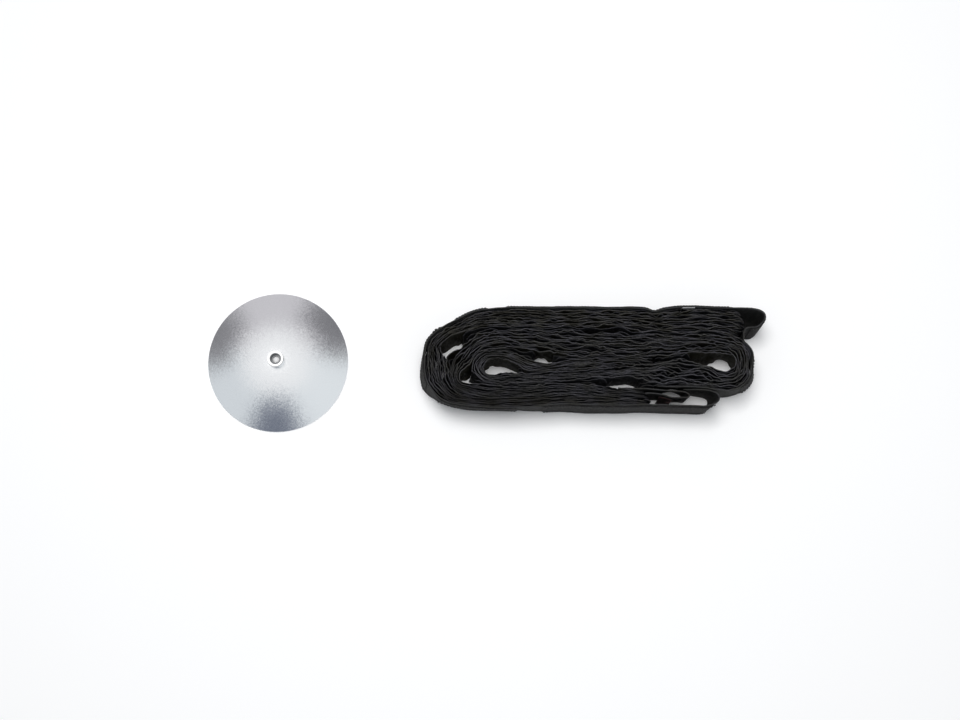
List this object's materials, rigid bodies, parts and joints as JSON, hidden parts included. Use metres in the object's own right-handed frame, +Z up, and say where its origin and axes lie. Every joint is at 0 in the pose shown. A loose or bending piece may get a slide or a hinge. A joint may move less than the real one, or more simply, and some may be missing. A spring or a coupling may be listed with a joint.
{
  "type": "soft light deflector dish and folded fabric grid",
  "caption": "Shallow domed metal deflector dish with a socket hub, lying beside a fabric egg-crate grid folded flat on edge, with its webbing edge band and hook tape.",
  "frame": {"origin": "on the table, under the middle of the set's bounding box", "axes": "+X from the dish towards the folded grid, +Y away from the viewer, +Z up"},
  "size_m": [0.5646, 0.144, 0.05],
  "materials": {
    "dish_metal": "satin, fine grain",
    "hub_metal": "bright nickel",
    "rivet_metal": "bright",
    "washer_metal": "zinc",
    "strip_fabric": "black woven nylon",
    "strip_lining": "dark brown coated back",
    "band_webbing": "black ribbed webbing",
    "hook_tape": "black hook tape",
    "label_cloth": "white satin weave, bare"
  },
  "bodies": {
    "grid": {"edge_band": "band_webbing", "corner_loop": "band_webbing", "corner_curl": "strip_lining", "care_label": "label_cloth", "hook_tape_back": "hook_tape", "hook_tape_shoulder": "hook_tape", "hook_tape_left": "hook_tape", "hook_tape_front_left": "hook_tape", "hook_tape_front": "hook_tape", "hook_tape_right": "hook_tape", "hook_tape_back_loop": "hook_tape", "outer_strip_01": "strip_fabric", "outer_strip_02": "strip_fabric", "outer_strip_03": "strip_fabric", "outer_strip_04": "strip_fabric", "outer_strip_05": "strip_fabric", "outer_strip_06": "strip_fabric", "outer_strip_07": "strip_fabric", "inner_strip_01": "strip_fabric", "inner_strip_02": "strip_fabric", "inner_strip_03": "strip_fabric", "inner_strip_04": "strip_fabric", "inner_strip_05": "strip_fabric", "inner_strip_06": "strip_fabric", "inner_strip_07": "strip_fabric"},
    "dish": {"deflector_dish": "dish_metal", "hub": "hub_metal", "hub_rivet": "rivet_metal", "backing_washer": "washer_metal"}
  },
  "joints": [
    {"name": "dish_lift", "type": "slide", "parent": "grid", "child": "dish", "axis": [0, 0, 1], "range_m": [0, 0.06]}
  ]
}
